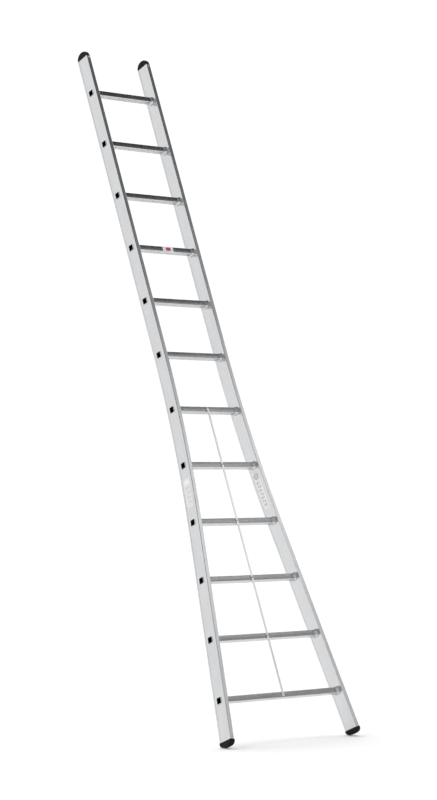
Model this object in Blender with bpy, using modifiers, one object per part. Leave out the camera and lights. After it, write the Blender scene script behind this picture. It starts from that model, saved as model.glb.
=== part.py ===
"""Single-section aluminium leaning ladder with twelve rungs and splayed lower stiles.

Units are metres and +Z is up. The ladder stands on its feet at z = 0 and leans back
towards +Y, as it does against a wall. It is modelled square in its own plane (X along the
rungs, Y through the stiles, Z up the stiles, zero at the first rung) under one empty,
which is then leaned back and set down on the floor.
"""

import math

import bmesh
import bpy
from mathutils import Matrix, Vector

# Rungs
RUNG_COUNT = 12
RUNG_PITCH = 0.280
RUNG_SIZE = 0.030
RUNG_CORNER = 0.004
RUNG_WALL = 0.0018
COLLAR_SWELL = 0.005
COLLAR_CORNER = 0.009
COLLAR_LENGTH = 0.018
LIP_OVERHANG = 0.0025
LIP_THICKNESS = 0.0014

# Stiles
STILE_DEPTH = 0.079
STILE_WIDTH = 0.022
STILE_WALL = 0.0018
STILE_CORNER = 0.003
SIDE_LAND = 0.010
SIDE_RECESS = 0.0007
TOP_HALF_SPACING = 0.188
TOP_OVERHANG = 0.193
BOTTOM_OVERHANG = 0.184
BEND_START = 1.711
BEND_RADIUS = 6.83
SPLAY = math.radians(7.66)
BEND_STEPS = 10

# Plastic caps and feet
CAP_RISE = 0.035
CAP_FULLNESS = 2.0
FOOT_RISE = 0.026
FOOT_FULLNESS = 2.5
FOOT_OVERHANG = 0.0015
CAP_SKIRT = 0.003
CAP_EDGE = 0.0025
PLUG_LENGTH = 0.032
PLUG_WALL = 0.002
RIVET_INSET = 0.010

# Centre stay across the lowest rungs
STAY_RUNGS = 6
STAY_WIDTH = 0.012
STAY_THICKNESS = 0.003
STAY_EYE = 0.0085

# Rivets
RIVET_RADIUS = 0.0022
RIVET_HEAD = 0.0044
RIVET_HEAD_RISE = 0.0016
RIVET_TAIL = 0.0032
RIVET_TAIL_LENGTH = 0.0035
RIVET_SIDES = 12
HEAD_STEPS = 3
BORE_PAST = 0.001

CLEARANCE = 0.0003
LEAN = math.radians(22.0)
ARC_STEPS = 2
DOME_STEPS = 16

ALUMINIUM = (0.78, 0.79, 0.80)
BLACK_PLASTIC = (0.015, 0.015, 0.016)
ZINC = (0.55, 0.56, 0.57)


def clear_scene():
    for item in list(bpy.data.objects):
        bpy.data.objects.remove(item, do_unlink=True)


def new_collection(name):
    group = bpy.data.collections.new(name)
    bpy.context.scene.collection.children.link(group)
    return group


def material(name, colour, roughness, metallic):
    finish = bpy.data.materials.new(name)
    finish.use_nodes = True
    shader = finish.node_tree.nodes["Principled BSDF"]
    shader.inputs["Base Color"].default_value = (*colour, 1.0)
    shader.inputs["Roughness"].default_value = roughness
    shader.inputs["Metallic"].default_value = metallic
    finish.diffuse_color = (*colour, 1.0)
    return finish


def add_object(name, data, group, frame):
    item = bpy.data.objects.new(name, data)
    group.objects.link(item)
    item.parent = frame
    return item


def make_cutter(item):
    item.hide_render = True
    item.display_type = "WIRE"
    return item


def boolean(item, other, operation):
    step = item.modifiers.new(operation.lower() + "_" + other.name, "BOOLEAN")
    step.operation = operation
    step.solver = "EXACT"
    step.object = other


def rounded_box(width, height, radius, steps):
    """Outline of a rectangle with round corners, anticlockwise from the +x side."""
    points = []
    for quarter in range(4):
        side_x = 1 if quarter in (0, 3) else -1
        side_y = 1 if quarter in (0, 1) else -1
        for step in range(steps + 1):
            angle = math.pi / 2 * (quarter + step / steps)
            x = side_x * (width / 2 - radius) + radius * math.cos(angle)
            y = side_y * (height / 2 - radius) + radius * math.sin(angle)
            points.append((x, y))
    return points


def poly_spline(curve, points, cyclic):
    spline = curve.splines.new("POLY")
    spline.points.add(len(points) - 1)
    for point, place in zip(spline.points, points):
        point.co = (place[0], place[1], 0.0, 1.0)
    spline.use_cyclic_u = cyclic


def mesh_from_curve(item, name):
    """Mesh of a curve object, with its loose caps welded on."""
    bpy.context.view_layer.update()
    graph = bpy.context.evaluated_depsgraph_get()
    mesh = bpy.data.meshes.new_from_object(item.evaluated_get(graph))
    mesh.name = name
    shape = bmesh.new()
    shape.from_mesh(mesh)
    bmesh.ops.remove_doubles(shape, verts=shape.verts, dist=0.00001)
    shape.to_mesh(mesh)
    shape.free()
    return mesh


def flat_plate(name, outline, thickness, group, frame):
    """Plate in its own XY plane, half its thickness each side."""
    curve = bpy.data.curves.new(name, "CURVE")
    curve.dimensions = "2D"
    curve.fill_mode = "BOTH"
    curve.extrude = thickness / 2
    poly_spline(curve, outline, True)
    draft = add_object(name + "_draft", curve, group, None)
    mesh = mesh_from_curve(draft, name)
    bpy.data.objects.remove(draft)
    return add_object(name, mesh, group, frame)


def prism_mesh(name, prisms):
    """One mesh of separate closed prisms, each a (matrix, outline, length) along its own Z."""
    shape = bmesh.new()
    for matrix, outline, length in prisms:
        low = [shape.verts.new(matrix @ Vector((x, y, -length / 2))) for x, y in outline]
        base = shape.faces.new(list(reversed(low)))
        grown = bmesh.ops.extrude_face_region(shape, geom=[base], use_keep_orig=True)
        top = [part for part in grown["geom"] if isinstance(part, bmesh.types.BMVert)]
        bmesh.ops.translate(shape, verts=top, vec=matrix.to_3x3() @ Vector((0, 0, length)))
    bmesh.ops.recalc_face_normals(shape, faces=shape.faces)
    mesh = bpy.data.meshes.new(name)
    shape.to_mesh(mesh)
    shape.free()
    return mesh


def smooth(item, angle=30.0):
    item.data.shade_smooth()
    item.data.set_sharp_from_angle(angle=math.radians(angle))


def stile_centre(height):
    """Distance of a stile's centre line from the middle, and its slope, at a height."""
    drop = BEND_START - height
    bend_depth = BEND_RADIUS * math.sin(SPLAY)
    if drop <= 0:
        return TOP_HALF_SPACING, 0.0
    angle = math.asin(min(drop, bend_depth) / BEND_RADIUS)
    reach = TOP_HALF_SPACING + BEND_RADIUS * (1 - math.cos(angle))
    return reach + max(drop - bend_depth, 0.0) * math.tan(SPLAY), angle


def rung_height(number):
    return (number - 1) * RUNG_PITCH


def top_height():
    return rung_height(RUNG_COUNT) + TOP_OVERHANG


def stile_heights():
    """Heights at which a stile's centre line has a point, from the bottom up."""
    arc = [BEND_START - BEND_RADIUS * math.sin(SPLAY * step / BEND_STEPS)
           for step in range(BEND_STEPS, -1, -1)]
    inside = [height for height in arc if -BOTTOM_OVERHANG < height < top_height()]
    return [-BOTTOM_OVERHANG] + inside + [top_height()]


def stile_profile():
    """Outline of the extrusion: rounded corners, and a shallow recess down each side."""
    half_width = STILE_WIDTH / 2
    land = STILE_DEPTH / 2 - SIDE_LAND
    corners = rounded_box(STILE_WIDTH, STILE_DEPTH, STILE_CORNER, ARC_STEPS)
    quarter = ARC_STEPS + 1
    steps = [(half_width, land), (half_width - SIDE_RECESS, land - SIDE_RECESS)]
    left = [(-x, y) for x, y in steps] + [(-x, -y) for x, y in reversed(steps)]
    right = [(x, -y) for x, y in steps] + [(x, y) for x, y in reversed(steps)]
    return corners[:2 * quarter] + left + corners[2 * quarter:] + right


def make_stile(name, side, group, frame, tools, cuts):
    """Bent hollow extrusion: the profile swept up the centre line, then given its wall."""
    profile = bpy.data.curves.new(name + "_profile", "CURVE")
    profile.dimensions = "2D"
    poly_spline(profile, stile_profile(), True)
    profile_item = make_cutter(add_object(name + "_profile", profile, tools, frame))

    path = bpy.data.curves.new(name + "_path", "CURVE")
    path.dimensions = "2D"
    path.bevel_mode = "OBJECT"
    path.bevel_object = profile_item
    poly_spline(path, [(side * stile_centre(h)[0], h) for h in stile_heights()], False)
    draft = add_object(name + "_draft", path, group, None)
    mesh = mesh_from_curve(draft, name)
    bpy.data.objects.remove(draft)

    stile = add_object(name, mesh, group, frame)
    stile.rotation_euler = (math.pi / 2, 0, 0)
    turn_faces_outwards(mesh)
    wall = stile.modifiers.new("wall", "SOLIDIFY")
    wall.thickness = STILE_WALL
    wall.offset = -1.0
    wall.use_even_offset = True
    for cutter in cuts:
        boolean(stile, cutter, "DIFFERENCE")
    stile.data.materials.append(material(name, ALUMINIUM, 0.32, 1.0))
    return stile


def turn_faces_outwards(mesh):
    shape = bmesh.new()
    shape.from_mesh(mesh)
    bmesh.ops.recalc_face_normals(shape, faces=shape.faces)
    shape.to_mesh(mesh)
    shape.free()


def rung_hole_cutter(tools, frame):
    """Square bars, one for each rung, that open both walls of both stiles."""
    hole = RUNG_SIZE + 2 * CLEARANCE
    outline = rounded_box(hole, hole, RUNG_CORNER + CLEARANCE, ARC_STEPS)
    length = 2 * (stile_centre(-BOTTOM_OVERHANG)[0] + STILE_WIDTH)
    turn = Matrix.Rotation(math.pi / 2, 4, "Y")
    prisms = []
    for number in range(1, RUNG_COUNT + 1):
        place = Matrix.Translation((0, 0, rung_height(number)))
        prisms.append((place @ turn, outline, length))
    mesh = prism_mesh("rung_holes", prisms)
    return make_cutter(add_object("rung_holes", mesh, tools, frame))


def round_cutter(name, places, length, tools, frame):
    """Round bars along Y that open the holes for rivets, centred on the given places."""
    radius = RIVET_RADIUS + CLEARANCE
    outline = [(radius * math.cos(2 * math.pi * step / RIVET_SIDES),
                radius * math.sin(2 * math.pi * step / RIVET_SIDES))
               for step in range(RIVET_SIDES)]
    turn = Matrix.Rotation(math.pi / 2, 4, "X")
    prisms = [(Matrix.Translation(place) @ turn, outline, length) for place in places]
    return make_cutter(add_object(name, prism_mesh(name, prisms), tools, frame))


def rung_rings(number):
    """Sizes and places of a rung's rings, from the middle out over the skin and back inside."""
    height = rung_height(number)
    reach, slope = stile_centre(height)
    half_wall = (STILE_WIDTH / 2 - SIDE_RECESS) / math.cos(slope)
    inner = reach - half_wall - CLEARANCE
    outer = reach + half_wall + CLEARANCE
    lip = RUNG_SIZE + 2 * LIP_OVERHANG
    bore = RUNG_SIZE - 2 * RUNG_WALL
    bore_corner = max(RUNG_CORNER - RUNG_WALL, 0.0005)
    rings = [(RUNG_SIZE, RUNG_CORNER, 0.0, 0.0)]
    for share, part in ((1.0, 0.0), (0.62, 0.20), (0.28, 0.62), (0.0, 1.0)):
        corner = RUNG_CORNER + (COLLAR_CORNER - RUNG_CORNER) * part
        rings.append((RUNG_SIZE + 2 * COLLAR_SWELL * part, corner,
                      inner - COLLAR_LENGTH * share, 1.0))
    rings += [
        (RUNG_SIZE, RUNG_CORNER, inner, 1.0),
        (RUNG_SIZE, RUNG_CORNER, outer, 1.0),
        (lip, RUNG_CORNER + LIP_OVERHANG, outer, 1.0),
        (lip - LIP_OVERHANG, RUNG_CORNER + LIP_OVERHANG / 2, outer + LIP_THICKNESS, 1.0),
        (bore, bore_corner, outer + LIP_THICKNESS, 1.0),
        (bore, bore_corner, 0.0, 0.0),
    ]
    return rings, slope


def make_rung(number, group, frame, cuts):
    """Half a hollow rung lofted out to its collar and lip, mirrored about the middle."""
    rings, slope = rung_rings(number)
    shape = bmesh.new()
    loops = []
    for size, corner, reach, tilt in rings:
        outline = rounded_box(size, size, corner, ARC_STEPS)
        loops.append([shape.verts.new((reach - tilt * z * math.tan(slope), y, z))
                      for y, z in outline])
    for near, far in zip(loops, loops[1:]):
        for index in range(len(near)):
            after = (index + 1) % len(near)
            shape.faces.new((near[index], near[after], far[after], far[index]))
    bmesh.ops.recalc_face_normals(shape, faces=shape.faces)
    if sum(face.normal.x * face.calc_area() for face in shape.faces) < 0:
        bmesh.ops.reverse_faces(shape, faces=shape.faces)
    name = "rung_%02d" % number
    mesh = bpy.data.meshes.new(name)
    shape.to_mesh(mesh)
    shape.free()
    rung = add_object(name, mesh, group, frame)
    rung.location.z = rung_height(number)
    mirror = rung.modifiers.new("other_half", "MIRROR")
    mirror.use_axis = (True, False, False)
    mirror.merge_threshold = 0.00001
    if number <= STAY_RUNGS:
        for cutter in cuts:
            boolean(rung, cutter, "DIFFERENCE")
    mesh.materials.append(material(name, ALUMINIUM, 0.38, 1.0))
    return rung


def end_frames():
    """The four stile ends: name, matrix whose Z points out of the stile, shape of the head."""
    cap = (CAP_RISE, CAP_FULLNESS, 0.0)
    foot = (FOOT_RISE, FOOT_FULLNESS, FOOT_OVERHANG)
    frames = []
    for side, word in ((-1, "left"), (1, "right")):
        place = Vector((side * TOP_HALF_SPACING, 0, top_height()))
        frames.append(("top_cap_" + word, Matrix.Translation(place), cap))
    for side, word in ((-1, "left"), (1, "right")):
        reach, angle = stile_centre(-BOTTOM_OVERHANG)
        place = Vector((side * reach, 0, -BOTTOM_OVERHANG))
        turn = Matrix.Rotation(math.pi - side * angle, 4, "Y")
        frames.append(("foot_" + word, Matrix.Translation(place) @ turn, foot))
    return frames


def upright_prism(name, outline, low, high, matrix, tools, frame):
    """Cutter with the given outline between two levels of a stile end's own frame."""
    place = Matrix.Translation((0, 0, (low + high) / 2))
    mesh = prism_mesh(name, [(place, outline, high - low)])
    prism = make_cutter(add_object(name, mesh, tools, frame))
    prism.matrix_local = matrix
    return prism


def dome_outline(rise, fullness, overhang):
    """Half-moon over the end of a stile: a low skirt, then half an ellipse.

    A fullness above 2 pushes the ellipse out at its shoulders.
    """
    half = STILE_DEPTH / 2 + overhang
    arc = []
    for step in range(DOME_STEPS + 1):
        angle = math.pi * step / DOME_STEPS
        level = math.sin(angle) ** (2 / fullness) if 0 < step < DOME_STEPS else 0.0
        reach = abs(math.cos(angle)) ** (2 / fullness)
        arc.append((math.copysign(half * reach, math.cos(angle)),
                    CLEARANCE + CAP_SKIRT + (rise - CAP_SKIRT) * level))
    return [(half, CLEARANCE)] + arc + [(-half, CLEARANCE)]


def make_end_cap(name, matrix, head, group, tools, frame, bores):
    """Domed plastic end: a half-moon head with a plug that goes down inside the stile."""
    rise, fullness, overhang = head
    cap = flat_plate(name, dome_outline(rise, fullness, overhang), STILE_WIDTH + 2 * overhang,
                     group, frame)
    cap.data.transform(Matrix.Rotation(math.pi / 2, 4, "Z") @ Matrix.Rotation(math.pi / 2, 4, "X"))
    cap.matrix_local = matrix
    edge = cap.modifiers.new("edge", "BEVEL")
    edge.width = CAP_EDGE
    edge.segments = 2
    edge.limit_method = "ANGLE"
    edge.angle_limit = math.radians(60)
    slack = 2 * (STILE_WALL + CLEARANCE)
    width = STILE_WIDTH - 2 * SIDE_RECESS - slack
    depth = STILE_DEPTH - slack
    corner = max(STILE_CORNER - STILE_WALL, 0.0008)
    plug = upright_prism(name + "_plug", rounded_box(width, depth, corner, 1),
                         -PLUG_LENGTH, CAP_SKIRT / 2, matrix, tools, frame)
    hollow = upright_prism(name + "_hollow",
                           rounded_box(width - 2 * PLUG_WALL, depth - 2 * PLUG_WALL, corner, 1),
                           -PLUG_LENGTH - BORE_PAST, -PLUG_WALL, matrix, tools, frame)
    boolean(cap, plug, "UNION")
    boolean(cap, hollow, "DIFFERENCE")
    boolean(cap, bores, "DIFFERENCE")
    cap.data.materials.append(material(name, BLACK_PLASTIC, 0.45, 0.0))
    return cap


def rivet_profile(grip):
    """Half section of a blind rivet: domed head outside, plain shank, upset tail inside."""
    head = [(RIVET_HEAD * math.sin(math.pi / 2 * step / HEAD_STEPS),
             RIVET_HEAD_RISE * math.cos(math.pi / 2 * step / HEAD_STEPS))
            for step in range(HEAD_STEPS + 1)]
    return head + [
        (RIVET_RADIUS, 0.0),
        (RIVET_RADIUS, -grip),
        (RIVET_TAIL, -grip - RIVET_TAIL_LENGTH * 0.3),
        (RIVET_TAIL, -grip - RIVET_TAIL_LENGTH * 0.7),
        (0.0, -grip - RIVET_TAIL_LENGTH),
    ]


def make_rivet(name, place, grip, group, frame):
    """Turned rivet whose head points along -Y."""
    mesh = bpy.data.meshes.new(name)
    points = [(radius, 0.0, height) for radius, height in rivet_profile(grip)]
    mesh.from_pydata(points, [(i, i + 1) for i in range(len(points) - 1)], [])
    rivet = add_object(name, mesh, group, frame)
    rivet.location = place
    rivet.rotation_euler = (math.pi / 2, 0, 0)
    turn = rivet.modifiers.new("turn", "SCREW")
    turn.steps = RIVET_SIDES
    turn.render_steps = RIVET_SIDES
    turn.use_merge_vertices = True
    turn.merge_threshold = 0.00001
    mesh.materials.append(material(name, ZINC, 0.35, 1.0))
    return rivet


def cap_rivet_places():
    """Where the four cap and foot rivets cross the front wall of a stile."""
    places = []
    for name, matrix, _ in end_frames():
        place = matrix @ Vector((0, -STILE_DEPTH / 2, -RIVET_INSET))
        places.append((name + "_rivet", place))
    return places


def stay_rivet_places():
    front = -RUNG_SIZE / 2 - CLEARANCE - STAY_THICKNESS
    return [("stay_rivet_%d" % number, Vector((0, front, rung_height(number))))
            for number in range(1, STAY_RUNGS + 1)]


def stay_outline():
    """Narrow strip with a round eye at each end, drawn up its own Y from the lowest rivet."""
    half = STAY_WIDTH / 2
    span = rung_height(STAY_RUNGS)
    start = math.asin(min(half / STAY_EYE, 1.0))
    steps = 12
    lower = []
    for step in range(steps + 1):
        angle = math.pi / 2 + start + (2 * math.pi - 2 * start) * step / steps
        lower.append((STAY_EYE * math.cos(angle), STAY_EYE * math.sin(angle)))
    upper = [(-x, span - y) for x, y in lower]
    return lower + upper


def make_stay(group, frame, cuts):
    stay = flat_plate("centre_stay", stay_outline(), STAY_THICKNESS, group, frame)
    stay.rotation_euler = (math.pi / 2, 0, 0)
    stay.location.y = -RUNG_SIZE / 2 - CLEARANCE - STAY_THICKNESS / 2
    for cutter in cuts:
        boolean(stay, cutter, "DIFFERENCE")
    stay.data.materials.append(material("centre_stay", ALUMINIUM, 0.35, 1.0))
    return stay


def set_down(frame, pieces):
    """Lean the ladder back, then move it so its feet touch z = 0 and its box is centred."""
    frame.rotation_euler = (-LEAN, 0, 0)
    bpy.context.view_layer.update()
    graph = bpy.context.evaluated_depsgraph_get()
    corners = []
    for piece in pieces:
        solid = piece.evaluated_get(graph)
        corners += [solid.matrix_world @ vertex.co for vertex in solid.data.vertices]
    depths = [corner.y for corner in corners]
    frame.location.y = -(min(depths) + max(depths)) / 2
    frame.location.z = -min(corner.z for corner in corners)
    bpy.context.view_layer.update()


def main():
    clear_scene()
    group = new_collection("splayed_ladder")
    tools = new_collection("cutters")
    frame = bpy.data.objects.new("ladder_frame", None)
    group.objects.link(frame)

    rung_holes = rung_hole_cutter(tools, frame)
    cap_places = cap_rivet_places()
    stay_places = stay_rivet_places()
    cap_grip = STILE_WALL + PLUG_WALL + 3 * CLEARANCE
    stay_grip = STAY_THICKNESS + RUNG_WALL + 3 * CLEARANCE
    cap_bores = round_cutter("cap_bores", [place for _, place in cap_places],
                             2 * (cap_grip + BORE_PAST), tools, frame)
    stay_bores = round_cutter("stay_bores", [place for _, place in stay_places],
                              2 * (stay_grip + BORE_PAST), tools, frame)

    pieces = [make_stile("left_stile", -1, group, frame, tools, [rung_holes, cap_bores]),
              make_stile("right_stile", 1, group, frame, tools, [rung_holes, cap_bores])]
    for number in range(1, RUNG_COUNT + 1):
        pieces.append(make_rung(number, group, frame, [stay_bores]))
    for name, matrix, head in end_frames():
        pieces.append(make_end_cap(name, matrix, head, group, tools, frame, cap_bores))
    proud = Vector((0, -CLEARANCE, 0))
    for name, place in cap_places:
        pieces.append(make_rivet(name, place + proud, cap_grip, group, frame))
    pieces.append(make_stay(group, frame, [stay_bores]))
    for name, place in stay_places:
        pieces.append(make_rivet(name, place + proud, stay_grip, group, frame))
    for piece in pieces:
        if not piece.name.startswith(("left", "right")):
            smooth(piece)
    set_down(frame, pieces)


main()
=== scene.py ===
"""Looks of a single-section aluminium leaning ladder with splayed lower stiles.

Every piece is worked out in the ladder's own plane, in metres: x along the rungs, y through
the stiles from front to back, z up the stiles from the first rung. lean() then puts the
points where the CAD ladder stands.
"""

import math

import bmesh
import bpy
import numpy as np
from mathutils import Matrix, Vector


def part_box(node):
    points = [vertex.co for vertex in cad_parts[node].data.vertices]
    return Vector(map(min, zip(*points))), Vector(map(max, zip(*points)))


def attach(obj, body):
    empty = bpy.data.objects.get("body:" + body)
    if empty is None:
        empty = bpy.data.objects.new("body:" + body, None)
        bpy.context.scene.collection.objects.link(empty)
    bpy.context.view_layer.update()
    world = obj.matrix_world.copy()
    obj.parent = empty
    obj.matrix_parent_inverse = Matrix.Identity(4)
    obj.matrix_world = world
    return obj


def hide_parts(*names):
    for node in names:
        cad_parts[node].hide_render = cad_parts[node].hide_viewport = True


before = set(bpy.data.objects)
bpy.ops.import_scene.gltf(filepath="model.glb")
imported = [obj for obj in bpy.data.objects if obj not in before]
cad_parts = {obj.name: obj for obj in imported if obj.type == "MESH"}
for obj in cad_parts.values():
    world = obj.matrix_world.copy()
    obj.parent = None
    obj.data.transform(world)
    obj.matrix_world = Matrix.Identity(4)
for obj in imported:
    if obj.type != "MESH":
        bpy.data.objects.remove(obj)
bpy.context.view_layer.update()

# Rungs
RUNG_COUNT = 12
RUNG_SIZE = 0.030
RUNG_CORNER = 0.004
RUNG_WALL = 0.0018
RUNG_CROWN = 0.00018
GROOVES = 8
GROOVE_DEPTH = 0.00045
GROOVE_EDGE = 0.28
GROOVE_FLOOR = 0.20
# Painted shade: how far the grooves of the back, top, front and underside are darkened
GROOVE_PAINTED_SHADE = (0.8, 0.8, 0.84, 0.3)
# Painted shade inside the rung's bore, so its open ends read dark
BORE_PAINTED_SHADE = 0.45
COLLAR_SWELL = 0.005
COLLAR_CORNER = 0.010
COLLAR_LENGTH = 0.019
COLLAR_ROLL = 0.0016
COLLAR_EASE = 1.6
LIP_OVERHANG = 0.0025
LIP_THICKNESS = 0.0014

# Stiles
STILE_DEPTH = 0.079
STILE_WIDTH = 0.022
STILE_WALL = 0.0018
STILE_CORNER = 0.003
SIDE_LAND = 0.010
SIDE_RECESS = 0.0007
LAND_STEP = 0.0006
ROW_SPACING = 0.028
SAWN_EDGE = 0.0004
TOP_HALF_SPACING = 0.188
TOP_OVERHANG = 0.193
BOTTOM_OVERHANG = 0.184
BEND_START = 1.711
BEND_RADIUS = 6.83
SPLAY = math.radians(7.66)
WINDOW = 0.01515

# Plastic caps and feet
CAP_SHAPE = {"rise": 0.035, "fullness": 2.0, "overhang": 0.0, "edge": 0.0065, "tread": 0.0}
FOOT_SHAPE = {"rise": 0.026, "fullness": 2.5, "overhang": 0.0015, "edge": 0.0030,
              "tread": 0.0005}
CAP_SKIRT = 0.003
CAP_GAP = 0.0003
CHAMFER = 0.0006
TREAD_GROOVES = 13
RIVET_INSET = 0.010

# Centre stay across the lowest rungs
STAY_RUNGS = 6
STAY_WIDTH = 0.012
STAY_THICKNESS = 0.003
STAY_EYE = 0.0085

# Rivets
RIVET_RADIUS = 0.0022
RIVET_HEAD = 0.0044
RIVET_HEAD_RISE = 0.0016
RIVET_TAIL = 0.0032
CAP_GRIP = 0.0047
STAY_GRIP = 0.0057
CAP_HOLE = 0.0012
FOOT_HOLE = 0.0022
STAY_HOLE = 0.0018

CLEARANCE = 0.0003
WELD = 0.000002
FILM = 0.00012

# The ladder plane, read from where the CAD rungs are
FIRST_RUNG = np.array(sum(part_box("rung_01"), Vector())) / 2
LAST_RUNG = np.array(sum(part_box("rung_%02d" % RUNG_COUNT), Vector())) / 2
RUNG_PITCH = float(np.linalg.norm(LAST_RUNG - FIRST_RUNG)) / (RUNG_COUNT - 1)
UP = (LAST_RUNG - FIRST_RUNG) / np.linalg.norm(LAST_RUNG - FIRST_RUNG)
THROUGH = np.array([0.0, UP[2], -UP[1]])
ACROSS = np.array([1.0, 0.0, 0.0])


def lean(points):
    """Ladder-plane points put in the world: first rung plus x, y and z along the three axes."""
    return FIRST_RUNG + points @ np.array([ACROSS, THROUGH, UP])


def rung_height(number):
    return (number - 1) * RUNG_PITCH


def top_height():
    return rung_height(RUNG_COUNT) + TOP_OVERHANG


def smoothstep(low, high, value):
    """0 below low, 1 above high, and 3t^2 - 2t^3 between them."""
    t = np.clip((value - low) / (high - low), 0.0, 1.0)
    return t * t * (3 - 2 * t)


# ---------------------------------------------------------------- meshes


def cells(index):
    """Corner numbers of every cell of a grid of point numbers, in order round the cell."""
    corners = (index[:-1, :-1], index[:-1, 1:], index[1:, 1:], index[1:, :-1])
    return np.stack(corners, axis=-1).reshape(-1, 4)


def wrap(index):
    """The grid with its first column repeated after its last, which closes it round."""
    return np.concatenate((index, index[:, :1]), axis=1)


def add_piece(name, points, faces, finish, replaced, along, sharp=35.0, shades=None):
    """One mesh object from ladder-plane points and four-cornered faces.

    Points in one place are welded, so seams and poles close. The attribute grain holds each
    point's place in the piece before it was bent or leaned, with its third axis along the
    grain of the metal; the attribute shade holds a printed colour on labels, and painted shade on
    the rungs and rivets.
    """
    mesh = bpy.data.meshes.new(name)
    mesh.from_pydata(lean(points).tolist(), [], faces.tolist())
    grain = mesh.attributes.new("grain", "FLOAT_VECTOR", "POINT")
    grain.data.foreach_set("vector", np.ascontiguousarray(along, dtype=np.float32).ravel())
    if shades is not None:
        shade = mesh.attributes.new("shade", "FLOAT_COLOR", "POINT")
        shade.data.foreach_set("color", np.ascontiguousarray(shades, dtype=np.float32).ravel())
    shape = bmesh.new()
    shape.from_mesh(mesh)
    bmesh.ops.remove_doubles(shape, verts=shape.verts, dist=WELD)
    bmesh.ops.recalc_face_normals(shape, faces=shape.faces)
    shape.to_mesh(mesh)
    shape.free()
    mesh.shade_smooth()
    mesh.set_sharp_from_angle(angle=math.radians(sharp))
    mesh.materials.append(finish)
    piece = bpy.data.objects.new(name, mesh)
    bpy.context.scene.collection.objects.link(piece)
    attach(piece, "root")
    if replaced:
        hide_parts(replaced)
    return piece


def closed_grid(points):
    """Faces of a grid of points that closes round its columns; its end rows are poles."""
    index = np.arange(points.shape[0] * points.shape[1]).reshape(points.shape[:2])
    return cells(wrap(index))


def thick_grid(outer, inner, kept):
    """Points and faces of a wall between two grids that close round their columns.

    kept says which cells of both skins are there. Wherever a kept cell meets a missing one,
    and round both ends, a strip joins the skins, so the wall is one closed solid.
    """
    rows, columns = outer.shape[:2]
    skin = np.arange(rows * columns).reshape(rows, columns)
    outside, inside = wrap(skin), wrap(skin + rows * columns)
    chosen = kept.ravel()
    faces = [cells(outside)[chosen], cells(inside)[chosen]]
    padded = np.zeros((rows + 1, columns), bool)
    padded[1:-1] = kept
    row, column = np.nonzero(padded[1:] != padded[:-1])
    faces.append(np.stack((outside[row, column], outside[row, column + 1],
                           inside[row, column + 1], inside[row, column]), axis=-1))
    row, column = np.nonzero(kept != np.roll(kept, 1, axis=1))
    faces.append(np.stack((outside[row, column], outside[row + 1, column],
                           inside[row + 1, column], inside[row, column]), axis=-1))
    points = np.concatenate((outer.reshape(-1, 3), inner.reshape(-1, 3)))
    return points, np.concatenate(faces)


def round_rectangle(half_x, half_y, corner, stops_x, stops_y, steps=6):
    """Loop round a rectangle with round corners, anticlockwise from its +x side.

    stops_x and stops_y are the places along the flats. Gives the points, their outward
    normals, and how far along its flat each point is, from -1 to 1 (1 all round a corner).
    """
    turn = np.linspace(0, math.pi / 2, steps + 1)
    places, normals, shares = [], [], []
    sides = ((half_x, stops_y), (half_y, -stops_x), (half_x, -stops_y), (half_y, stops_x))
    for quarter, (reach, stops) in enumerate(sides):
        outward = np.array([(1, 0), (0, 1), (-1, 0), (0, -1)][quarter], float)
        flat = np.stack((np.full_like(stops, outward[0] * reach), stops), -1)
        if quarter % 2:
            flat = np.stack((stops, np.full_like(stops, outward[1] * reach)), -1)
        angle = quarter * math.pi / 2 + turn
        bow = np.stack((np.cos(angle), np.sin(angle)), -1)
        middle = np.array([(1, 1), (-1, 1), (-1, -1), (1, -1)][quarter])
        middle = middle * (half_x - corner, half_y - corner)
        places += [flat, middle + corner * bow]
        normals += [np.tile(outward, (len(stops), 1)), bow]
        shares += [stops / np.abs(stops).max(), np.ones(len(bow))]
    return np.concatenate(places), np.concatenate(normals), np.concatenate(shares)


# ---------------------------------------------------------------- stiles


def stile_centre(height):
    """Distance of the centre line from the middle, and its slope, at each height.

    Straight down to BEND_START, then an arc of BEND_RADIUS that turns by SPLAY, then
    straight again.
    """
    drop = np.maximum(BEND_START - height, 0.0)
    depth = BEND_RADIUS * math.sin(SPLAY)
    angle = np.arcsin(np.minimum(drop, depth) / BEND_RADIUS)
    reach = TOP_HALF_SPACING + BEND_RADIUS * (1 - np.cos(angle))
    return reach + np.maximum(drop - depth, 0.0) * math.tan(SPLAY), angle


def stile_rows():
    """Heights of the stile's rows, the share of a square cut at each, and its edge inset."""
    low, high = -BOTTOM_OVERHANG, top_height()
    windows = rung_height(np.arange(1, RUNG_COUNT + 1))[:, None] + np.array([-WINDOW, WINDOW])
    even = np.arange(low + 0.03, high - 0.02, ROW_SPACING)
    clear = np.abs(even[:, None] - windows.ravel()).min(axis=1) > 0.005
    heights = np.sort(np.concatenate((even[clear], windows.ravel())))
    heights = np.concatenate(([low, low + SAWN_EDGE], heights, [high - SAWN_EDGE, high]))
    square = ((heights < low + 0.01) | (heights > high - 0.01)).astype(float)
    inset = ((heights == low) | (heights == high)) * SAWN_EDGE
    return heights, square, inset


def stile_section():
    """The extrusion's loop: round corners, raised lands along the side faces' edges."""
    flat_x, flat_y = STILE_WIDTH / 2 - STILE_CORNER, STILE_DEPTH / 2 - STILE_CORNER
    land = STILE_DEPTH / 2 - SIDE_LAND
    stops_y = np.array([WINDOW, land - SIDE_RECESS - LAND_STEP, land - SIDE_RECESS, land,
                        land + LAND_STEP, flat_y - 0.0004, flat_y])
    stops_x = np.array([flat_x - 0.0004, flat_x])
    stops_y = np.concatenate((-stops_y[::-1], stops_y))
    stops_x = np.concatenate((-stops_x[::-1], stops_x))
    places, normals, _ = round_rectangle(STILE_WIDTH / 2, STILE_DEPTH / 2, STILE_CORNER,
                                         stops_x, stops_y)
    side = np.abs(normals[:, 0]) == 1
    recess = SIDE_RECESS * (side & (np.abs(places[:, 1]) < land - SIDE_RECESS / 2))
    return places, normals, recess, side


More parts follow.
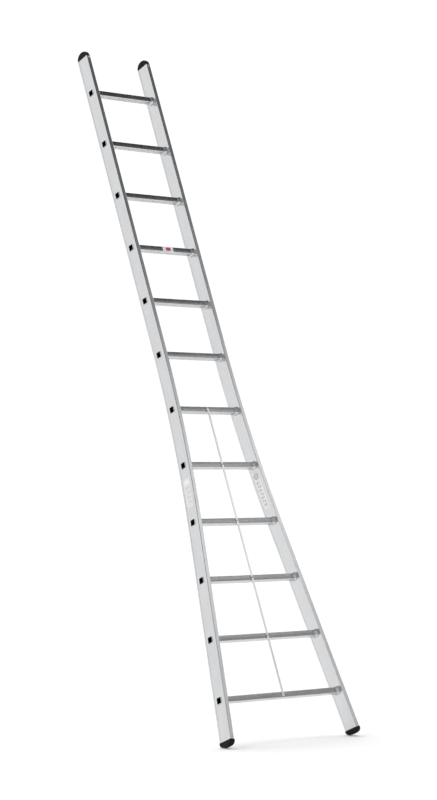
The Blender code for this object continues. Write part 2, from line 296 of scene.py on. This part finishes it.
def bent(side, across, depth, height, square):
    """Section points carried up the bend.

    x is the centre line's distance plus the place across divided by the cosine of the slope;
    a square cut also lifts each point by its place across times the sine of the slope.
    """
    slope = stile_centre(height)[1]
    height = height + square * side * across * np.sin(slope)
    reach, slope = stile_centre(height)
    x = side * reach + across / np.cos(slope)
    return np.stack(np.broadcast_arrays(x, depth, height), axis=-1)


def make_stile(name, side, finish):
    """The section swept up the bent centre line, with a square window at every rung."""
    heights, square, inset = (row[:, None] for row in stile_rows())
    places, normals, recess, flat_side = stile_section()

    def skin(sunk):
        across = places[:, 0] - normals[:, 0] * sunk
        depth = places[:, 1] - normals[:, 1] * sunk
        return (bent(side, across, depth, heights, square),
                np.stack(np.broadcast_arrays(across, depth, heights), axis=-1))

    outer, outer_grain = skin(recess + inset)
    inner, inner_grain = skin(recess + STILE_WALL + 0 * inset)
    middle_row = (heights[1:, 0] + heights[:-1, 0]) / 2
    to_rung = np.abs(middle_row / RUNG_PITCH - np.round(middle_row / RUNG_PITCH)) * RUNG_PITCH
    on_rung = (to_rung < WINDOW) & (middle_row > -WINDOW) & (middle_row < rung_height(12.5))
    following = np.roll(places[:, 1], -1)
    in_depth = np.abs((places[:, 1] + following) / 2) < WINDOW
    opening = on_rung[:, None] & (in_depth & flat_side & np.roll(flat_side, -1))[None, :]
    points, faces = thick_grid(outer, inner, ~opening)
    grain = np.concatenate((outer_grain.reshape(-1, 3), inner_grain.reshape(-1, 3)))
    return add_piece(name + "_extrusion", points, faces, finish, name, grain)


# ---------------------------------------------------------------- rungs


def rung_stations(number):
    """Rows of a rung from the middle to its right end: x, half size, corner, ribs, slant.

    Ribbed tube, then the collar's flare (a smoothstep raised to COLLAR_EASE) where the ribs
    fade out as the square of what is left of it, its rim that rolls back, the plain part
    through the stile's walls, and the rounded lip outside.
    """
    reach, slope = (float(value) for value in stile_centre(rung_height(number)))
    half_wall = (STILE_WIDTH / 2 - SIDE_RECESS) / math.cos(slope)
    inner, outer = reach - half_wall - CLEARANCE, reach + half_wall + CLEARANCE
    flare_end = inner - COLLAR_ROLL
    rows = [(x, 0.0, 1.0, min(i, 1)) for i, x in
            enumerate(np.linspace(0, inner - COLLAR_LENGTH - 0.004, 7))]
    for t in np.linspace(0, 1, 11):
        rows.append((inner - COLLAR_LENGTH + t * (COLLAR_LENGTH - COLLAR_ROLL),
                     COLLAR_SWELL * float(smoothstep(0, 1, t)) ** COLLAR_EASE, (1 - t) ** 2, 1.0))
    for angle in np.linspace(math.pi / 8, math.pi / 2, 4):
        rows.append((flare_end + COLLAR_ROLL * math.sin(angle),
                     COLLAR_SWELL - COLLAR_ROLL * (1 - math.cos(angle)), 0.0, 1.0))
    rows += [(inner, 0.0, 0.0, 1.0), (outer, 0.0, 0.0, 1.0)]
    for angle in np.linspace(0, math.pi / 2, 5):
        rows.append((outer + LIP_THICKNESS * math.sin(angle),
                     LIP_OVERHANG - LIP_THICKNESS * 0.8 * (1 - math.cos(angle)), 0.0, 1.0))
    x, swell, ribs, slant = np.array(rows).T
    corner = RUNG_CORNER + (COLLAR_CORNER - RUNG_CORNER) * swell / COLLAR_SWELL
    return x, RUNG_SIZE / 2 + swell, corner, ribs, slant, slope


def rung_skins(number):
    """Outer and inner grids of the right half of a rung.

    Outer radius is the round rectangle, less a crown that grows with the square of the place
    along each flat, less the flat-bottomed grooves between its ribs. The bore is a plain
    round rectangle. Painted shade darkens the grooves, least of all underneath, and the bore.
    """
    x, half, corner, ribs, slant, slope = rung_stations(number)
    pitch = 2 / GROOVES
    middles = -1 + pitch * (np.arange(GROOVES) + 0.5)
    sides = np.array([-GROOVE_EDGE, -GROOVE_FLOOR, GROOVE_FLOOR, GROOVE_EDGE])
    share = (middles[:, None] + pitch * sides).ravel()
    share = np.concatenate(([-1, -0.985], share, [0.985, 1]))
    groove = np.concatenate(([0, 0], np.tile([0.0, 1.0, 1.0, 0.0], GROOVES), [0, 0]))
    groove = np.tile(np.concatenate((groove, np.zeros(7))), 4)
    outer, inner = [], []
    bore, bore_corner = RUNG_SIZE / 2 - RUNG_WALL, RUNG_CORNER - RUNG_WALL
    for row in range(len(x)):
        flat = half[row] - corner[row]
        stops = share * flat
        places, normals, along = round_rectangle(half[row], half[row], corner[row], stops, stops)
        sunk = RUNG_CROWN * along ** 2 + GROOVE_DEPTH * ribs[row] * groove
        ring = places - normals * sunk[:, None]
        lean_in = slant[row] * math.tan(slope)
        outer.append(np.column_stack((x[row] - lean_in * ring[:, 1], ring)))
        stops = share * (bore - bore_corner)
        ring, _, _ = round_rectangle(bore, bore, bore_corner, stops, stops)
        inner.append(np.column_stack((x[row] - lean_in * ring[:, 1], ring)))
    # Painted shade in the grooves, least underneath, where the lands hide them
    groove_painted_shade = np.repeat(GROOVE_PAINTED_SHADE, len(groove) // 4) * groove
    painted_shading = 1 - ribs[:, None] * groove_painted_shade[None, :]
    return np.array(outer), np.array(inner), painted_shading


def make_rung(number, finish):
    """Both halves of a rung: the right half, and the same rows mirrored to the left."""
    outer, inner, painted_shading = rung_skins(number)
    mirror = np.array([-1, 1, 1])
    painted_shading = np.concatenate((painted_shading[:0:-1], painted_shading)).ravel()
    # Painted shade inside the bore
    painted_shading = np.concatenate((painted_shading, np.full_like(painted_shading, BORE_PAINTED_SHADE)))
    shades = np.column_stack((painted_shading, painted_shading, painted_shading, np.ones_like(painted_shading)))
    outer = np.concatenate((outer[:0:-1] * mirror, outer))
    inner = np.concatenate((inner[:0:-1] * mirror, inner))
    kept = np.ones((len(outer) - 1, outer.shape[1]), bool)
    points, faces = thick_grid(outer, inner, kept)
    grain = points[:, [1, 2, 0]] + (0.0, 0.0, number)
    name = "rung_%02d" % number
    return add_piece(name + "_tube", points + (0, 0, rung_height(number)), faces, finish,
                     name, grain, shades=shades)


# ---------------------------------------------------------------- caps and feet


def half_moon(rise, fullness, overhang, edge, tread):
    """Grid of a cap head in its own frame: y through the stile, z out of its end.

    The columns run round the outline: a chamfered skirt, then half a superellipse (its
    exponent is the fullness), less shallow cosine tread grooves. The rows run across it: both
    side faces shrink to a pole in the middle of the base, and a quarter round joins them to
    the crown.
    """
    half = STILE_DEPTH / 2 + overhang
    angle = np.linspace(0, math.pi, 121)
    power = 2 / fullness
    arch_y = half * np.sign(np.cos(angle)) * np.abs(np.cos(angle)) ** power
    arch_z = CAP_SKIRT + (rise - CAP_SKIRT) * np.clip(np.sin(angle), 0, 1) ** power
    y = np.concatenate(([half - CHAMFER, half], arch_y, [-half, CHAMFER - half]))
    z = np.concatenate(([0.0, CHAMFER], arch_z, [CHAMFER, 0.0]))
    ripple = tread * (0.5 - 0.5 * np.cos(2 * math.pi * TREAD_GROOVES * y / (2 * half)))
    ripple = ripple * smoothstep(0.25 * rise, 0.6 * rise, z)
    bow = np.linspace(0, math.pi / 2, 8)
    round_sunk, round_across = edge * (1 - np.sin(bow)), edge * (1 - np.cos(bow))
    sunk = np.concatenate(([1.0, 0.6 * half, 0.3 * half, edge + 0.0004], round_sunk))
    across = STILE_WIDTH / 2 + overhang - np.concatenate((np.zeros(4), round_across))
    sunk = np.concatenate((sunk, [0.0, 0.0], sunk[::-1]))
    across = np.concatenate((across, [0.003, -0.003], -across[::-1]))
    radius = np.hypot(y, z)
    crown = smoothstep(0.5 * edge, 0.0, sunk)
    depth = np.minimum(sunk[:, None] * np.minimum(radius / rise, 1.0) + ripple * crown[:, None],
                       radius)
    shrink = 1 - depth / radius
    x = np.broadcast_to(across[:, None], shrink.shape)
    return np.stack((x, y * shrink, z * shrink + CAP_GAP), axis=-1)


def stile_end(side, top):
    """Middle of a stile's end, and the rows of the matrix that turns a cap's frame to it."""
    height = top_height() if top else -BOTTOM_OVERHANG
    reach, slope = (float(value) for value in stile_centre(height))
    out = (1 if top else -1) * np.array([-side * math.sin(slope), 0, math.cos(slope)])
    through = np.array([0.0, 1.0, 0.0])
    return np.array([side * reach, 0, height]), np.array([np.cross(through, out), through, out])


def make_cap(name, side, top, finish):
    head = half_moon(**(CAP_SHAPE if top else FOOT_SHAPE))
    middle, axes = stile_end(side, top)
    points = head.reshape(-1, 3)
    return add_piece(name + "_moulding", middle + points @ axes, closed_grid(head), finish,
                     name, points)


# ---------------------------------------------------------------- stay and rivets


def make_stay(finish):
    """Flat strip with round eyes: a rounded bar section whose half width follows its length.

    Half width is the larger of the strip's and the eye's circle, eased together, and falls
    to nothing at both tips, where the section closes to a pole.
    """
    span = rung_height(STAY_RUNGS)
    turn = np.linspace(0, math.pi, 25)
    near = -STAY_EYE * np.cos(turn)
    height = np.concatenate((near[near < 0.0078], np.linspace(0.009, span - 0.009, 60),
                             span - near[near < 0.0078][::-1]))
    from_eye = np.minimum(np.abs(height), np.abs(height - span))
    eye = np.sqrt(np.maximum(STAY_EYE ** 2 - from_eye ** 2, 0.0))
    strip = STAY_WIDTH / 2 * ((height > 0) & (height < span))
    half = np.where(eye > strip, eye, strip)
    edge = 0.0009
    stops = np.array([-1, -0.8, 0.8, 1])
    places, _, _ = round_rectangle(STAY_WIDTH / 2, STAY_THICKNESS / 2, edge,
                                   stops * (STAY_WIDTH / 2 - edge),
                                   stops * (STAY_THICKNESS / 2 - edge), 4)
    x = half[:, None] * places[None, :, 0] / (STAY_WIDTH / 2)
    y = places[None, :, 1] - RUNG_SIZE / 2 - CLEARANCE - STAY_THICKNESS / 2
    grid = np.stack(np.broadcast_arrays(x, y, height[:, None]), axis=-1)
    index = np.arange(grid.shape[0] * grid.shape[1]).reshape(grid.shape[:2])
    points = grid.reshape(-1, 3)
    return add_piece("centre_stay_strip", points, cells(wrap(index)), finish,
                     "centre_stay", points)


def rivet_rows(grip, hole):
    """Half section from the hole in the head's middle round to the tail: radius, height."""
    angle = np.linspace(math.pi / 2, 0, 10)
    start = math.acos(hole / RIVET_HEAD)
    dome = np.stack((RIVET_HEAD * np.cos(angle), RIVET_HEAD_RISE * np.sin(angle)), -1)
    dome = dome[angle < start]
    rim = RIVET_HEAD_RISE * math.sin(start)
    well = np.array([(0.0, rim - 0.0007), (hole * 0.8, rim - 0.0007), (hole * 0.97, rim - 0.0001),
                     (hole, rim)])
    tail = np.array([(RIVET_HEAD - 0.0004, -0.0001), (RIVET_RADIUS, 0.0), (RIVET_RADIUS, -grip),
                     (RIVET_TAIL, -grip - 0.001), (RIVET_TAIL, -grip - 0.0025),
                     (0.0, -grip - 0.0035)])
    return np.concatenate((well, dome, tail))


def make_rivet(name, place, grip, hole, finish):
    """The half section turned about an axis through the place, its head to the front."""
    rows = rivet_rows(grip, hole)
    turn = np.linspace(0, 2 * math.pi, 32, endpoint=False)
    x = rows[:, :1] * np.cos(turn)
    z = rows[:, :1] * np.sin(turn)
    y = np.broadcast_to(-rows[:, 1:], x.shape)
    points = np.stack((x, y, z), axis=-1)
    index = np.arange(points.shape[0] * points.shape[1]).reshape(points.shape[:2])
    flat = points.reshape(-1, 3)
    # Painted shade in the shallow well of the head's hole, so it reads as a deep dark hole
    dark = np.repeat(np.where(rows[:, 0] < hole * 0.98, 0.12, 1.0)[:, None], 32, axis=1).ravel()
    shades = np.column_stack((dark, dark, dark, np.ones_like(dark)))
    return add_piece(name + "_turned", flat + place, cells(wrap(index)), finish,
                     name, flat, shades=shades)


def make_rivets(finish):
    """Blind rivets through the caps and feet, and through the stay on every lower rung."""
    for side, word in ((-1, "left"), (1, "right")):
        for part, top in (("top_cap_", True), ("foot_", False)):
            middle, axes = stile_end(side, top)
            place = middle + np.array([0, -STILE_DEPTH / 2 - CLEARANCE, -RIVET_INSET]) @ axes
            make_rivet(part + word + "_rivet", place, CAP_GRIP,
                        CAP_HOLE if top else FOOT_HOLE, finish)
    front = -RUNG_SIZE / 2 - 2 * CLEARANCE - STAY_THICKNESS
    for number in range(1, STAY_RUNGS + 1):
        place = np.array([0, front, rung_height(number)])
        make_rivet("stay_rivet_%d" % number, place, STAY_GRIP, STAY_HOLE, finish)


# ---------------------------------------------------------------- labels


def add_label(name, grid, shades, finish):
    """A printed film laid on a surface: an open grid of points given the film's thickness."""
    index = np.arange(grid.shape[0] * grid.shape[1]).reshape(grid.shape[:2])
    flat = grid.reshape(-1, 3)
    shades = np.concatenate((shades.reshape(-1, 3), np.ones((len(flat), 1))), axis=1)
    label = add_piece(name, flat, cells(index), finish, None, flat, shades=shades)
    film = label.modifiers.new("film", "SOLIDIFY")
    film.thickness = FILM
    film.offset = 0.0
    return label


def printed(shades, u, v, box, colour):
    """Print the rectangle box (u low, u high, v low, v high) in one colour."""
    low_u, high_u, low_v, high_v = box
    shades[(u >= low_u) & (u <= high_u) & (v >= low_v) & (v <= high_v)] = colour


def make_rung_label(finish):
    """White film round the front of rung 9, from the upper corner to the lower one.

    Its section is the rung's: a crowned flat, then part of each round corner.
    """
    flat = RUNG_SIZE / 2 - RUNG_CORNER
    along = np.linspace(-0.015, 0.050, 131)[:, None]
    length = np.linspace(-1, 1, 63)[None, :] * (flat + RUNG_CORNER * 1.0)
    past = np.maximum(np.abs(length) - flat, 0) / RUNG_CORNER
    y = -RUNG_SIZE / 2 + RUNG_CORNER * (1 - np.cos(past)) - FILM
    y = y + RUNG_CROWN * np.minimum(np.abs(length) / flat, 1) ** 2 * np.cos(past)
    z = np.sign(length) * (np.minimum(np.abs(length), flat) + RUNG_CORNER * np.sin(past))
    grid = np.stack(np.broadcast_arrays(along, y, z + rung_height(9)), axis=-1)
    u, v = np.broadcast_arrays(along, length)
    shades = np.full(grid.shape, 0.84)
    printed(shades, u, v, (0.005, 0.033, -0.008, 0.009), (0.50, 0.05, 0.09))
    return add_label("rung_09_label", grid, shades, finish)


def stile_label_grid(side, face, low, high, half_depth):
    """Grid on the recessed side face of a stile, face 1 towards +x and -1 towards -x."""
    height = np.linspace(low, high, int((high - low) / 0.001) + 1)[:, None]
    depth = np.linspace(-half_depth, half_depth, 49)[None, :]
    across = face * (STILE_WIDTH / 2 - SIDE_RECESS + FILM)
    return bent(side, across, depth, height, 0.0), height, depth


def make_stile_labels(finish):
    """Pale films on the left stile's outer face and the right stile's inner face.

    Where the real ones carry pictures and words, these have a plain ring and plain bars.
    """
    grid, v, u = stile_label_grid(-1, -1, 0.912, 1.056, 0.024)
    u, v = np.broadcast_arrays(u, v)
    shades = np.full(grid.shape, 0.70)
    for step, length in enumerate((0.030, 0.014, 0.026, 0.018)):
        top = 1.014 - 0.023 * step
        printed(shades, u, v, (-0.014, length - 0.014, top - 0.009, top), (0.56, 0.57, 0.58))
    printed(shades, u, v, (-0.018, 0.018, 1.028, 1.044), (0.80, 0.81, 0.80))
    add_label("left_stile_label", grid, shades, finish)

    grid, v, u = stile_label_grid(1, -1, 0.902, 1.088, 0.021)
    u, v = np.broadcast_arrays(u, v)
    shades = np.full(grid.shape, 0.80)
    radius = np.hypot(u - 0.002, v - 1.066)
    shades[radius < 0.0150] = (0.72, 0.71, 0.62)
    shades[(radius < 0.0150) & (radius > 0.0115)] = 0.22
    shades[radius < 0.0035] = 0.30
    for step, length in enumerate((5, 9, 7, 10, 6, 9, 8)):
        top = 1.036 - 0.018 * step
        printed(shades, u, v, (-0.006, -0.001, top - 0.001 * length, top), 0.20)
        printed(shades, u, v, (0.006, 0.011, top - 0.001 * (15 - length), top), 0.28)
    add_label("right_stile_label", grid, shades, finish)


# ---------------------------------------------------------------- finishes


class Finish:
    """A node material being put together, with its Principled shader at hand."""

    def __init__(self, name, colour, roughness, metallic):
        self.made = bpy.data.materials.new(name)
        self.made.use_nodes = True
        self.tree = self.made.node_tree
        self.shader = self.tree.nodes["Principled BSDF"]
        self.set(self.shader, {"Base Color": (*colour, 1), "Roughness": roughness,
                               "Metallic": metallic})

    def set(self, node, values):
        for socket, value in values.items():
            if isinstance(value, bpy.types.NodeSocket):
                self.tree.links.new(value, node.inputs[socket])
            else:
                node.inputs[socket].default_value = value
        return node

    def node(self, kind, settings=(), **values):
        made = self.tree.nodes.new("ShaderNode" + kind)
        for setting, value in dict(settings).items():
            setattr(made, setting, value)
        return self.set(made, {key.replace("_", " "): value for key, value in values.items()})

    def attribute(self, name, output="Vector"):
        return self.node("Attribute", {"attribute_name": name}).outputs[output]

    def noise(self, place, stretch, detail=3.0, rough=0.55):
        """Noise over a place stretched by a factor for each axis."""
        moved = self.node("Mapping", Vector=place, Scale=stretch).outputs[0]
        return self.node("TexNoise", Vector=moved, Scale=1.0, Detail=detail,
                         Roughness=rough).outputs["Fac"]

    def spread(self, value, low, high, start=0.3, end=0.7):
        """A value between start and end spread over low to high."""
        made = self.node("MapRange")
        self.set(made, {"Value": value, "From Min": start, "From Max": end, "To Min": low,
                        "To Max": high})
        return made.outputs["Result"]

    def pair(self, operation, first, second):
        made = self.tree.nodes.new("ShaderNodeMath")
        made.operation = operation
        self.set(made, {0: first, 1: second})
        return made.outputs[0]

    def tint(self, colour, amount):
        """The colour times a grey amount."""
        made = self.tree.nodes.new("ShaderNodeVectorMath")
        made.operation = "MULTIPLY"
        self.set(made, {0: colour, 1: amount})
        return made.outputs[0]

    def bump(self, height, strength, distance):
        made = self.node("Bump", Height=height, Strength=strength, Distance=distance)
        self.set(self.shader, {"Normal": made.outputs[0]})


def drawn_aluminium(name, colour, roughness, lines, blotch, painted_shade_on=False):
    """Extruded aluminium: die lines along the grain, faint blotches, and a few dull rubs.

    Where it is asked for, painted shade held in the attribute shade darkens it.
    """
    finish = Finish(name, colour, roughness, 1.0)
    grain = finish.attribute("grain")
    die = finish.noise(grain, (1500.0, 1500.0, 5.0), 4.0, 0.6)
    bands = finish.noise(grain, (160.0, 160.0, 0.8), 2.0)
    cloud = finish.noise(grain, (22.0, 22.0, 7.0), 4.0)
    rubs = finish.spread(finish.noise(grain, (90.0, 90.0, 60.0), 5.0, 0.7), 0.0, 1.0, 0.56, 0.72)
    tone = finish.pair("MULTIPLY", finish.spread(bands, 1 - lines, 1 + lines),
                       finish.spread(cloud, 1 - blotch, 1 + blotch))
    tone = finish.pair("MULTIPLY", tone, finish.spread(die, 1 - 2 * lines, 1 + 2 * lines))
    rough = finish.pair("ADD", finish.spread(cloud, roughness - 0.03, roughness + 0.04),
                        finish.pair("MULTIPLY", rubs, 0.08))
    # Painted shade: the attribute shade darkens the grooves and bore of the rungs
    if painted_shade_on:
        tone = finish.tint(finish.attribute("shade", "Color"), tone)
    finish.set(finish.shader, {"Base Color": finish.tint(colour, tone), "Roughness": rough})
    finish.bump(die, 0.06, 0.0002)
    return finish.made


def cast_zinc(name, colour):
    """Rivet metal: fine turned grain, darkened where the attribute shade puts painted shade in the
    head's hole.
    """
    finish = Finish(name, colour, 0.32, 1.0)
    grain = finish.attribute("grain")
    mottle = finish.noise(grain, (900.0, 900.0, 900.0), 3.0)
    tone = finish.tint(finish.attribute("shade", "Color"), finish.spread(mottle, 0.88, 1.08))
    finish.set(finish.shader, {"Base Color": finish.tint(colour, tone),
                               "Roughness": finish.spread(mottle, 0.26, 0.42)})
    finish.bump(mottle, 0.12, 0.0002)
    return finish.made


def printed_film(name):
    """Label film: the printed colour of the attribute shade, a little mottled, half glossy."""
    finish = Finish(name, (0.8, 0.8, 0.8), 0.4, 0.0)
    mottle = finish.noise(finish.attribute("grain"), (240.0, 240.0, 240.0), 3.0)
    ink = finish.tint(finish.attribute("shade", "Color"), finish.spread(mottle, 0.95, 1.02))
    finish.set(finish.shader, {"Base Color": ink, "Roughness": finish.spread(mottle, 0.3, 0.5)})
    finish.bump(mottle, 0.05, 0.0001)
    return finish.made


def moulded_plastic(name, colour):
    """Black plastic: fine pebbled skin, a little dust in it, and lighter scuffs."""
    finish = Finish(name, colour, 0.5, 0.0)
    grain = finish.attribute("grain")
    pebble = finish.node("TexVoronoi", {"feature": "F1"}, Vector=grain, Scale=1400.0)
    dust = finish.noise(grain, (70.0, 70.0, 70.0), 5.0, 0.7)
    tone = finish.spread(dust, 0.8, 1.9, 0.4, 0.8)
    finish.set(finish.shader, {"Base Color": finish.tint(colour, tone),
                               "Roughness": finish.spread(dust, 0.40, 0.62),
                               "Specular IOR Level": 0.12})
    finish.bump(pebble.outputs["Distance"], 0.25, 0.0002)
    return finish.made


# ---------------------------------------------------------------- stage


def make_floor():
    """Plain pale floor, wide enough to reach the horizon from any side."""
    mesh = bpy.data.meshes.new("studio_floor")
    reach = 600.0
    mesh.from_pydata([(-reach, -reach, 0), (reach, -reach, 0), (reach, reach, 0),
                      (-reach, reach, 0)], [], [(0, 1, 2, 3)])
    finish = Finish("pale_floor", (0.96, 0.96, 0.96), 0.75, 0.0)
    place = finish.node("TexCoord").outputs["Object"]
    mottle = finish.noise(place, (3.0, 3.0, 3.0), 3.0)
    finish.set(finish.shader, {
        "Base Color": finish.tint((0.96, 0.96, 0.96), finish.spread(mottle, 0.995, 1.0)),
        "Specular IOR Level": 0.0})
    mesh.materials.append(finish.made)
    floor = bpy.data.objects.new("studio_floor", mesh)
    bpy.context.scene.collection.objects.link(floor)


# Brightness of the studio by the height of the direction (sine of its elevation). In front of
# the ladder are a pale wall, two strip lights and a dark ceiling; behind it a pale ceiling goes
# over.
FRONT_SKY = ((0.00, 1.02), (0.20, 0.98), (0.32, 0.38), (0.38, 0.50), (0.41, 1.00),
             (0.44, 0.45), (0.455, 0.38), (0.48, 0.85), (0.50, 1.50), (0.53, 1.30),
             (0.56, 0.50), (0.60, 0.14), (0.64, 0.10), (1.00, 0.09))
BACK_SKY = ((0.00, 1.04), (0.35, 1.06), (0.60, 2.10), (1.00, 2.30))
BRIGHTEST = 2.3


def sky_ramp(tree, value, stops):
    ramp = tree.nodes.new("ShaderNodeValToRGB")
    tree.links.new(value, ramp.inputs[0])
    marks = ramp.color_ramp.elements
    while len(marks) < len(stops):
        marks.new(0.5)
    for mark, (place, light) in zip(marks, stops):
        mark.position = place
        mark.color = (light / BRIGHTEST,) * 3 + (1,)
    return ramp.outputs[0]


def make_studio_light():
    world = bpy.data.worlds.new("studio")
    bpy.context.scene.world = world
    world.use_nodes = True
    tree = world.node_tree
    direction = tree.nodes.new("ShaderNodeTexCoord").outputs["Generated"]
    axes = tree.nodes.new("ShaderNodeSeparateXYZ")
    tree.links.new(direction, axes.inputs[0])
    side = tree.nodes.new("ShaderNodeMapRange")
    side.interpolation_type = "SMOOTHSTEP"
    side.inputs["From Min"].default_value = -0.25
    side.inputs["From Max"].default_value = 0.25
    tree.links.new(axes.outputs["Y"], side.inputs["Value"])
    blend = tree.nodes.new("ShaderNodeMix")
    blend.data_type = "RGBA"
    tree.links.new(side.outputs["Result"], blend.inputs["Factor"])
    tree.links.new(sky_ramp(tree, axes.outputs["Z"], FRONT_SKY), blend.inputs[6])
    tree.links.new(sky_ramp(tree, axes.outputs["Z"], BACK_SKY), blend.inputs[7])
    background = tree.nodes["Background"]
    background.inputs["Strength"].default_value = BRIGHTEST
    tree.links.new(blend.outputs[2], background.inputs["Color"])


def make_camera():
    """Long lens from the front left, a little above the floor and looking slightly up."""
    lens = bpy.data.cameras.new("camera")
    lens.sensor_width = 36.0
    lens.lens = 103.87
    lens.clip_end = 2000.0
    camera = bpy.data.objects.new("camera", lens)
    bpy.context.scene.collection.objects.link(camera)
    camera.location = (-7.0380, -8.3300, 1.2192)
    forward = Vector((0.65171, 0.75782, 0.03052))
    camera.rotation_euler = forward.to_track_quat("-Z", "Y").to_euler()
    bpy.context.scene.camera = camera


def main():
    stile_metal = drawn_aluminium("stile_aluminium_drawn", (0.64, 0.645, 0.655), 0.18, 0.012, 0.02)
    # The rungs take painted shade in their grooves and bore
    rung_metal = drawn_aluminium("rung_aluminium_drawn", (0.63, 0.64, 0.65), 0.17, 0.03, 0.05,
                                 True)
    stay_metal = drawn_aluminium("stay_aluminium_rolled", (0.80, 0.81, 0.82), 0.20, 0.02, 0.04)
    rivet_metal = cast_zinc("rivet_metal_turned", (0.60, 0.61, 0.62))
    film = printed_film("label_film_printed")
    plastic = moulded_plastic("black_plastic_moulded", (0.004, 0.004, 0.0045))

    make_stile("left_stile", -1, stile_metal)
    make_stile("right_stile", 1, stile_metal)
    for number in range(1, RUNG_COUNT + 1):
        make_rung(number, rung_metal)
    for side, word in ((-1, "left"), (1, "right")):
        make_cap("top_cap_" + word, side, True, plastic)
        make_cap("foot_" + word, side, False, plastic)
    make_stay(stay_metal)
    make_rivets(rivet_metal)
    make_rung_label(film)
    make_stile_labels(film)

    make_floor()
    make_studio_light()
    make_camera()
    bpy.context.scene.view_settings.view_transform = "Standard"


main()
